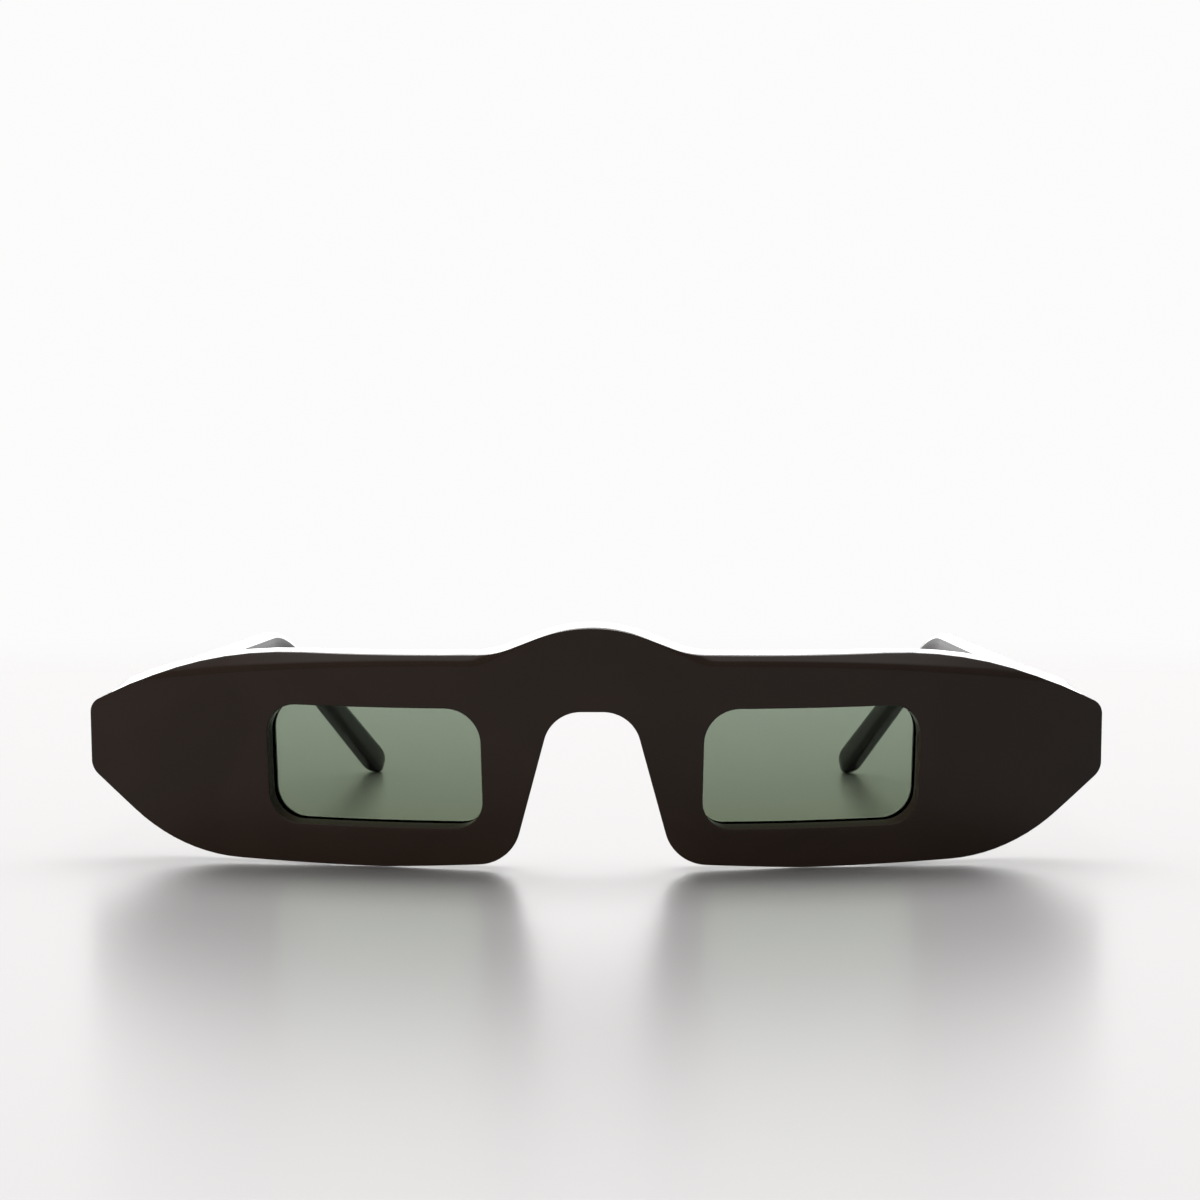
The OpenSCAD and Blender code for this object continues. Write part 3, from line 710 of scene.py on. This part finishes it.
def temple_skin(front, temple):
    """Skin of the left temple, from its butt against the front to its rounded tip."""
    path = TemplePath(temple)
    frame_of_pin = pin_frame(front, temple)
    to_front = stand(front).inverted() @ frame_of_pin
    butt = front.face_radius - front.thick - temple.butt_gap
    way = np.array(path.along)

    # The arm meets the bent back of the front at a slant, so its points are slid there in steps
    def butt_ring(inset, behind):
        ring = path.ring(temple.butt, inset=inset)
        for _ in range(12):
            seen = placed(to_front, ring)
            away = np.hypot(seen[:, 0], front.face_radius - seen[:, 1])
            ring = ring + np.outer((away - butt) * 1.02, way)
        return ring + way * behind

    rings = [butt_ring(inset, depth) for inset, depth in rounding(temple.butt_edge)]
    arm = np.linspace(temple.butt + BUTT_ZONE, path.arm, ARM_SECTIONS)
    curve = np.linspace(path.arm, path.arm + path.curve, BEND_SECTIONS)[1:]
    end = np.linspace(path.arm + path.curve, path.tip_from, END_SECTIONS)[1:]
    rings += [path.ring(s) for s in np.concatenate([arm, curve, end])]
    # The last section stops a little short of the tip, and a small flat face closes it
    for step in range(1, TIP_SECTIONS + 1):
        turned = math.pi / 2 * step / (TIP_SECTIONS + 0.4)
        reach = path.tip_from + temple.tip_round * math.sin(turned)
        rings.append(path.ring(reach, scale=math.cos(turned)))
    rings = [placed(frame_of_pin, ring) for ring in rings]
    skin = Skin()
    skin.bands(rings, closed=True)
    skin.add(rings[0], [range(len(rings[0]))[::-1]])
    skin.add(rings[-1], [range(len(rings[-1]))])
    return skin


class NodeBench:
    """Adds nodes to a tree and joins them."""

    def __init__(self, tree):
        self.tree = tree
        tree.nodes.clear()

    def add(self, kind, sockets=None, **settings):
        """Adds a node, with its settings, and values or links for its sockets."""
        node = self.tree.nodes.new(kind)
        for name, value in settings.items():
            setattr(node, name, value)
        for name, value in (sockets or {}).items():
            if isinstance(value, bpy.types.NodeSocket):
                self.tree.links.new(value, node.inputs[name])
            else:
                node.inputs[name].default_value = value
        return node

    def maths(self, operation, one, two):
        """Result of a calculation with two values."""
        return self.add("ShaderNodeMath", {0: one, 1: two}, operation=operation).outputs[0]

    def ramp(self, value, low, high, out_low=0, out_high=1):
        """Range of values drawn onto another."""
        return self.add("ShaderNodeMapRange", {
            "Value": value, "From Min": low, "From Max": high,
            "To Min": out_low, "To Max": out_high}).outputs["Result"]

    def noise(self, place, scale, detail, roughness=0.5, distortion=0):
        """Noise at a scale."""
        return self.add("ShaderNodeTexNoise", {
            "Vector": place, "Scale": scale, "Detail": detail,
            "Roughness": roughness, "Distortion": distortion}).outputs["Fac"]

    def stretched(self, place, scale):
        """Coordinates stretched along their axes."""
        return self.add("ShaderNodeMapping", {"Vector": place, "Scale": scale}).outputs["Vector"]

    def bump(self, height, strength, distance):
        """Normal of a surface with a height on it."""
        return self.add("ShaderNodeBump", {
            "Height": height, "Strength": strength, "Distance": distance}).outputs["Normal"]

    def tinted(self, share_of, first, second):
        """Colour between two colours."""
        node = self.add("ShaderNodeMix", {"Factor": share_of}, data_type="RGBA")
        node.inputs["A"].default_value = (*first, 1)
        node.inputs["B"].default_value = (*second, 1)
        return node.outputs["Result"]

    def coated(self, sockets):
        """Shader of a surface with its colour, gloss and the like."""
        return self.add("ShaderNodeBsdfPrincipled", sockets).outputs["BSDF"]

    def seen(self):
        """Kinds of ray, and one for a look straight at a thing or through a lens at it."""
        ray = self.add("ShaderNodeLightPath").outputs
        return ray, self.maths("MAXIMUM", ray["Is Camera Ray"], ray["Is Transmission Ray"])

    def surface(self, shader):
        """Ends a material with its surface."""
        self.add("ShaderNodeOutputMaterial", {"Surface": shader})


def new_material(name):
    """Empty node material, with a bench for its nodes and the coordinates of the piece."""
    material = bpy.data.materials.new(name)
    material.use_nodes = True
    bench = NodeBench(material.node_tree)
    return material, bench, bench.add("ShaderNodeTexCoord").outputs["Object"]


def acetate_material(name, shade, low, high, gloss=0.5):
    """Polished acetate: faint clouds, fine wipe marks, a slight waviness and dull inner walls."""
    material, bench, place = new_material(name)
    clouds = bench.noise(place, 55, 4, 0.6, 1.2)
    wipes = bench.noise(bench.stretched(place, (260, 900, 1900)), 1, 3, 0.55)
    wall = bench.add("ShaderNodeAttribute", attribute_name="wall").outputs["Fac"]
    dark, light = ([part * c for c in shade] for part in (0.92, 1.08))
    bench.surface(bench.coated({
        "Base Color": bench.tinted(bench.ramp(clouds, 0.35, 0.65), dark, light),
        "Roughness": bench.ramp(wipes, 0.3, 0.7, low, high),
        "IOR": 1.49,
        "Specular IOR Level": bench.ramp(wall, 0, 1, gloss, 0.06),
        "Normal": bench.bump(bench.noise(place, 140, 2), 0.035, 0.0005)}))
    return material


def lens_material(lens):
    """Tinted lens: grey green all through, darker low down as painted shade, with a faint smear on it.
    """
    material, bench, place = new_material("tinted_lens")
    height = bench.add("ShaderNodeSeparateXYZ", {"Vector": place}).outputs["Z"]
    bench.surface(bench.coated({
        # Painted shade: the colour darkens from the top of the lens to its foot
        "Base Color": bench.tinted(bench.ramp(height, 0.006, 0.024), lens.foot_tint_and_shade, lens.tint),
        "Roughness": bench.ramp(bench.noise(place, 120, 3), 0.3, 0.7, 0.0, 0.012),
        "IOR": 1.2,
        "Transmission Weight": 1.0}))
    return material


def steel_material(name, shade, low, high, grain):
    """Stamped steel with fine drawn lines and a little unevenness in its gloss."""
    material, bench, place = new_material(name)
    lines = bench.noise(bench.stretched(place, grain), 1, 4, 0.6)
    dull = [0.9 * c for c in shade]
    bench.surface(bench.coated({
        "Base Color": bench.tinted(bench.ramp(bench.noise(place, 700, 2), 0.3, 0.7), dull, shade),
        "Metallic": 1.0,
        "Roughness": bench.ramp(lines, 0.3, 0.7, low, high),
        "Normal": bench.bump(lines, 0.1, 0.00001)}))
    return material


def dress_node(name, material):
    """Gives a solid that stays its material."""
    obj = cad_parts[name]
    obj.data.materials.clear()
    obj.data.materials.append(material)


def rivet_tree():
    """Node tree for a row of rivets along Y: domed inner heads, shanks along X and flush outer heads."""
    tree = bpy.data.node_groups.new("Temple rivets", "GeometryNodeTree")
    tree.interface.new_socket("Geometry", in_out="OUTPUT", socket_type="NodeSocketGeometry")
    kinds = {"Count": "Int", "Material": "Material"}
    for name in ("Count", "First", "Pitch", "Head Diameter", "Head Height", "Shank Diameter", "Length",
                 "Inner Side", "Material"):
        kind = "NodeSocket" + kinds.get(name, "Float")
        tree.interface.new_socket(name, in_out="INPUT", socket_type=kind)
    bench = NodeBench(tree)
    given = bench.add("NodeGroupInput").outputs
    inner_side, head_high, whole = given["Inner Side"], given["Head Height"], given["Length"]

    def vector(x=0.0, y=0.0, z=0.0):
        return bench.add("ShaderNodeCombineXYZ", {"X": x, "Y": y, "Z": z}).outputs["Vector"]

    def lying(mesh, at, scale=(1, 1, 1)):
        return bench.add("GeometryNodeTransform", {
            "Geometry": mesh, "Translation": at, "Rotation": (0, math.pi / 2, 0), "Scale": scale,
        }).outputs["Geometry"]

    def rod(sides, radius, depth):
        return bench.add("GeometryNodeMeshCylinder", {
            "Vertices": sides, "Radius": radius, "Depth": depth}).outputs["Mesh"]

    def half(value):
        return bench.maths("DIVIDE", value, 2)

    head_radius = half(given["Head Diameter"])
    dome = bench.add("GeometryNodeMeshUVSphere", {"Segments": 40, "Rings": 20, "Radius": head_radius})
    flat = vector(1.0, 1.0, bench.maths("DIVIDE", head_high, head_radius))
    inner = lying(dome.outputs["Mesh"], vector(bench.maths("ADD", inner_side, head_high)), flat)
    middle = bench.maths("ADD", inner_side, half(whole))
    bar = lying(rod(32, half(given["Shank Diameter"]), whole), vector(middle))
    outer_at = bench.maths("SUBTRACT", bench.maths("ADD", inner_side, whole), half(head_high))
    outer = lying(rod(48, head_radius, head_high), vector(outer_at))
    rivet = bench.add("GeometryNodeJoinGeometry")
    for part in (inner, bar, outer):
        tree.links.new(part, rivet.inputs["Geometry"])
    row = bench.add("GeometryNodeMeshLine", {
        "Count": given["Count"],
        "Start Location": vector(y=given["First"]), "Offset": vector(y=given["Pitch"])})
    copies = bench.add("GeometryNodeInstanceOnPoints", {
        "Points": row.outputs["Mesh"], "Instance": rivet.outputs["Geometry"]})
    real = bench.add("GeometryNodeRealizeInstances", {"Geometry": copies.outputs["Instances"]})
    painted = bench.add("GeometryNodeSetMaterial", {
        "Geometry": real.outputs["Geometry"], "Material": given["Material"]})
    bench.add("NodeGroupOutput", {"Geometry": painted.outputs["Geometry"]})
    return tree


def grown_from(tree, values):
    """Bmesh of what a node tree makes from its named inputs."""
    holder = linked("holder", bpy.data.meshes.new("holder"))
    modifier = holder.modifiers.new("Tree", "NODES")
    modifier.node_group = tree
    for item in tree.interface.items_tree:
        if item.in_out == "INPUT":
            modifier[item.identifier] = values[item.name]
    graph = bpy.context.evaluated_depsgraph_get()
    mesh = bpy.data.meshes.new_from_object(holder.evaluated_get(graph), depsgraph=graph)
    bm = bmesh.new()
    bm.from_mesh(mesh)
    bpy.data.objects.remove(holder)
    bpy.data.meshes.remove(mesh)
    return bm


class GLASSES_OT_front(Operator):
    """Makes the bent front with its brow bevel, polished edges and lens grooves"""
    bl_idname = "glasses.front"
    bl_label = "Front"

    def execute(self, context):
        front, lens = context.scene.glasses_front, context.scene.glasses_lens
        material = acetate_material("frame_acetate", front.acetate, 0.05, 0.13)
        obj = front_skin(front, lens).made("polished_front", 1, material)
        hand_over(obj, "front", "front")
        return {"FINISHED"}


class GLASSES_OT_lenses(Operator):
    """Makes both tinted lenses, set in the grooves of the front"""
    bl_idname = "glasses.lenses"
    bl_label = "Lenses"

    def execute(self, context):
        front, lens = context.scene.glasses_front, context.scene.glasses_lens
        material = lens_material(lens)
        for name, side in SIDES.items():
            obj = lens_skin(front, lens).made("tinted_lens_" + name, side, material)
            hand_over(obj, "front", "lens_" + name)
        return {"FINISHED"}


class GLASSES_OT_pads(Operator):
    """Makes both nose pads, glued to the back of the front"""
    bl_idname = "glasses.pads"
    bl_label = "Nose pads"

    def execute(self, context):
        front, pad = context.scene.glasses_front, context.scene.glasses_pad
        material = acetate_material("pad_acetate", pad.acetate, 0.16, 0.28)
        for name, side in SIDES.items():
            obj = finished(pad_mesh(front, pad, side), "rounded_pad_" + name, material, 40)
            outward = [item.vector for item in obj.data.attributes["outward"].data]
            obj.data.normals_split_custom_set_from_vertices(outward)
            hand_over(obj, "front", "nose_pad_" + name)
        return {"FINISHED"}


class GLASSES_OT_temples(Operator):
    """Makes both slender temples with their bends and rounded tips"""
    bl_idname = "glasses.temples"
    bl_label = "Temples"

    def execute(self, context):
        front, temple = context.scene.glasses_front, context.scene.glasses_temple
        # The temples get a darker copy of the acetate as painted shade
        material = acetate_material("shaded_temple_acetate", temple.acetate, 0.06, 0.15, gloss=0.35)
        for name, side in SIDES.items():
            obj = temple_skin(front, temple).made("slender_temple_" + name, side, material)
            hand_over(obj, "temple_" + name, "temple_" + name)
        return {"FINISHED"}


class GLASSES_OT_rivets(Operator):
    """Makes the rivets that hold a hinge half on each temple"""
    bl_idname = "glasses.rivets"
    bl_label = "Rivets"

    def execute(self, context):
        front, temple = context.scene.glasses_front, context.scene.glasses_temple
        hinge = context.scene.glasses_hinge
        material = steel_material("rivet_steel", hinge.screw, 0.16, 0.34, (2600, 2600, 2600))
        tree = rivet_tree()
        path = TemplePath(temple)
        inner = temple.pin_side - hinge.plate + hinge.sunk - hinge.head_high
        middle = hinge.first + hinge.pitch / 2 + temple.butt
        outer = path.at(middle)[0].x + path.size(middle)[0] / 2
        values = {
            "Count": hinge.rivets, "First": hinge.first, "Pitch": hinge.pitch,
            "Head Diameter": hinge.head, "Head Height": hinge.head_high, "Shank Diameter": hinge.shank,
            "Length": outer - inner + RIVET_OVER, "Inner Side": inner, "Material": material}
        for name, side in SIDES.items():
            bm = grown_from(tree, values)
            bmesh.ops.transform(bm, matrix=Matrix.Diagonal((side, 1, 1, 1)) @ pin_frame(front, temple),
                                verts=bm.verts)
            obj = finished(bm, "riveted_heads_" + name, material, 40)
            hand_over(obj, "temple_" + name, "temple_rivets_" + name)
        return {"FINISHED"}


class GLASSES_OT_hinges(Operator):
    """Gives the hinge halves, their screws and the core wires their steels"""
    bl_idname = "glasses.hinges"
    bl_label = "Hinges"

    def execute(self, context):
        hinge = context.scene.glasses_hinge
        stamped = steel_material("hinge_steel", hinge.steel, 0.2, 0.42, (300, 4200, 4200))
        turned = steel_material("screw_steel", hinge.screw, 0.14, 0.3, (3800, 3800, 500))
        drawn = steel_material("wire_steel", hinge.wire, 0.3, 0.5, (3000, 200, 3000))
        for name in SIDES:
            dress_node("front_hinge_" + name, stamped)
            dress_node("temple_hinge_" + name, stamped)
            dress_node("hinge_screw_" + name, turned)
            dress_node("core_wire_" + name, drawn)
        return {"FINISHED"}


def floor_material(stage):
    """Glossy pale floor that fades into the background far from the glasses, with a darker copy of its
    colour as painted shade for all rays but those of the camera and those through the lenses.
    """
    material, bench, place = new_material("floor")
    streaks = bench.noise(bench.stretched(place, (28, 300, 1)), 1, 3)
    ray, looked_at = bench.seen()
    shader = bench.coated({
        # Rays from the camera and through the lenses see the floor colour, and all others see its
        # painted shade
        "Base Color": bench.tinted(looked_at, stage.floor_painted_shade, stage.floor),
        "Roughness": bench.ramp(streaks, 0.3, 0.7, 0.31, 0.32),
        "IOR": 1.5,
        "Coat Weight": 1.0,
        "Coat Roughness": 0.25,
        "Coat IOR": 1.6})

    def fading(way, looked):
        faded = bench.ramp(way, stage.floor_end, stage.floor_end + FADE_WIDTH)
        return bench.maths("MULTIPLY", looked, faded)

    far = bench.add("ShaderNodeVectorMath", {0: place}, operation="LENGTH").outputs["Value"]
    behind = bench.add("ShaderNodeSeparateXYZ", {"Vector": place}).outputs["Y"]
    amount = bench.maths("MAXIMUM", fading(far, looked_at), fading(behind, ray["Is Glossy Ray"]))
    white = bench.add("ShaderNodeEmission", {"Color": WHITE, "Strength": 1.0}).outputs["Emission"]
    bench.surface(bench.add("ShaderNodeMixShader", {0: amount, 1: shader, 2: white}).outputs["Shader"])
    return material


def studio_world():
    """World that the camera sees white, bright behind the glasses and dim behind the camera."""
    world = bpy.data.worlds.new("studio")
    world.use_nodes = True
    bench = NodeBench(world.node_tree)
    way = bench.add("ShaderNodeTexCoord").outputs["Generated"]
    parts = bench.add("ShaderNodeSeparateXYZ", {"Vector": way}).outputs
    behind = bench.ramp(parts["Y"], -0.2, 0.35, 0.12, 1.0)
    above = bench.ramp(parts["Z"], 0.72, 0.86, 0.12, 0.70)
    bright = bench.maths("MAXIMUM", behind, above)

    def background(tone, strength):
        sockets = {"Color": tone, "Strength": strength}
        return bench.add("ShaderNodeBackground", sockets).outputs["Background"]

    lit, white = background((1.0, 0.99, 0.985, 1), bright), background(WHITE, 1.0)
    mixed = bench.add("ShaderNodeMixShader", {0: bench.seen()[1], 1: lit, 2: white})
    bench.add("ShaderNodeOutputWorld", {"Surface": mixed.outputs["Shader"]})
    bpy.context.scene.world = world


def soft_light(name, place, aim, size, power, tone):
    """Soft lamp at a place, aimed at another, that the camera doesn't see."""
    lamp = bpy.data.lights.new(name, "AREA")
    lamp.shape = "RECTANGLE"
    lamp.size, lamp.size_y = size
    lamp.energy = power
    lamp.color = tone
    obj = linked(name, lamp)
    obj.location = place
    obj.rotation_euler = (Vector(aim) - Vector(place)).to_track_quat("-Z", "Y").to_euler()
    obj.visible_camera = False
    obj.visible_transmission = False
    return obj


class GLASSES_OT_stage(Operator):
    """Makes the floor, the lights, the world and the camera"""
    bl_idname = "glasses.stage"
    bl_label = "Stage"

    def execute(self, context):
        scene = context.scene
        stage, front = scene.glasses_stage, scene.glasses_front
        mesh = bpy.data.meshes.new("floor")
        corners = [(FLOOR_HALF * x, FLOOR_HALF * y, 0) for x, y in ((-1, -1), (1, -1), (1, 1), (-1, 1))]
        mesh.from_pydata(corners, [], [(0, 1, 2, 3)])
        mesh.materials.append(floor_material(stage))
        floor = linked("floor", mesh)
        studio_world()
        soft_light("top light", (0, 0.5, 0.8), (0, 0, 0), (0.9, 0.7), stage.top_light, (1, 0.97, 0.96))
        middle = (0, 0, 0.02)
        back = soft_light("back light", (0, 0.98, 0.32), middle, (1.1, 0.45), stage.back_light,
                          (1, 1, 1))
        fill = soft_light("front light", (-0.5, -1.0, 0.5), middle, (1.0, 0.6), stage.front_light,
                          (1, 0.8, 0.64))
        fill.visible_glossy = False
        unlit = bpy.data.collections.new("lit from above only")
        unlit.objects.link(floor)
        unlit.collection_objects[0].light_linking.link_state = "EXCLUDE"
        back.light_linking.receiver_collection = unlit
        fill.light_linking.receiver_collection = unlit
        camera = linked("camera", bpy.data.cameras.new("camera"))
        side = stage.camera_side
        camera.location = (stage.camera_far * math.sin(side),
                           front.place[1] - stage.camera_far * math.cos(side), stage.camera_high)
        camera.rotation_euler = (math.pi / 2 - stage.camera_pitch, 0, stage.camera_yaw)
        camera.data.sensor_width = 36
        camera.data.lens = stage.focal
        camera.data.clip_start = 0.01
        scene.camera = camera
        scene.view_settings.view_transform = "Standard"
        return {"FINISHED"}


OPERATORS = (GLASSES_OT_front, GLASSES_OT_lenses, GLASSES_OT_pads, GLASSES_OT_temples, GLASSES_OT_rivets,
             GLASSES_OT_hinges, GLASSES_OT_stage)


class GLASSES_PT_panel(Panel):
    """Lists the pieces of the sunglasses and their sizes"""
    bl_idname = "GLASSES_PT_panel"
    bl_label = "Sunglasses"
    bl_space_type = "VIEW_3D"
    bl_region_type = "UI"
    bl_category = "Sunglasses"

    def draw(self, context):
        for operator in OPERATORS:
            self.layout.operator(operator.bl_idname)
        for name, kind in SETTINGS.items():
            box = self.layout.box()
            box.label(text=kind.__doc__)
            for key in kind.__annotations__:
                box.prop(getattr(context.scene, name), key)


def register():
    """Registers the settings, operators and panel."""
    for name, kind in SETTINGS.items():
        bpy.utils.register_class(kind)
        setattr(bpy.types.Scene, name, PointerProperty(type=kind))
    for kind in OPERATORS + (GLASSES_PT_panel,):
        bpy.utils.register_class(kind)


def unregister():
    """Takes them out again."""
    for kind in reversed(OPERATORS + (GLASSES_PT_panel,)):
        bpy.utils.unregister_class(kind)
    for name, kind in reversed(SETTINGS.items()):
        delattr(bpy.types.Scene, name)
        bpy.utils.unregister_class(kind)


def main():
    """Makes every piece and the stage."""
    register()
    bpy.ops.glasses.front()
    bpy.ops.glasses.lenses()
    bpy.ops.glasses.pads()
    bpy.ops.glasses.temples()
    bpy.ops.glasses.rivets()
    bpy.ops.glasses.hinges()
    bpy.ops.glasses.stage()


if __name__ == "__main__":
    main()
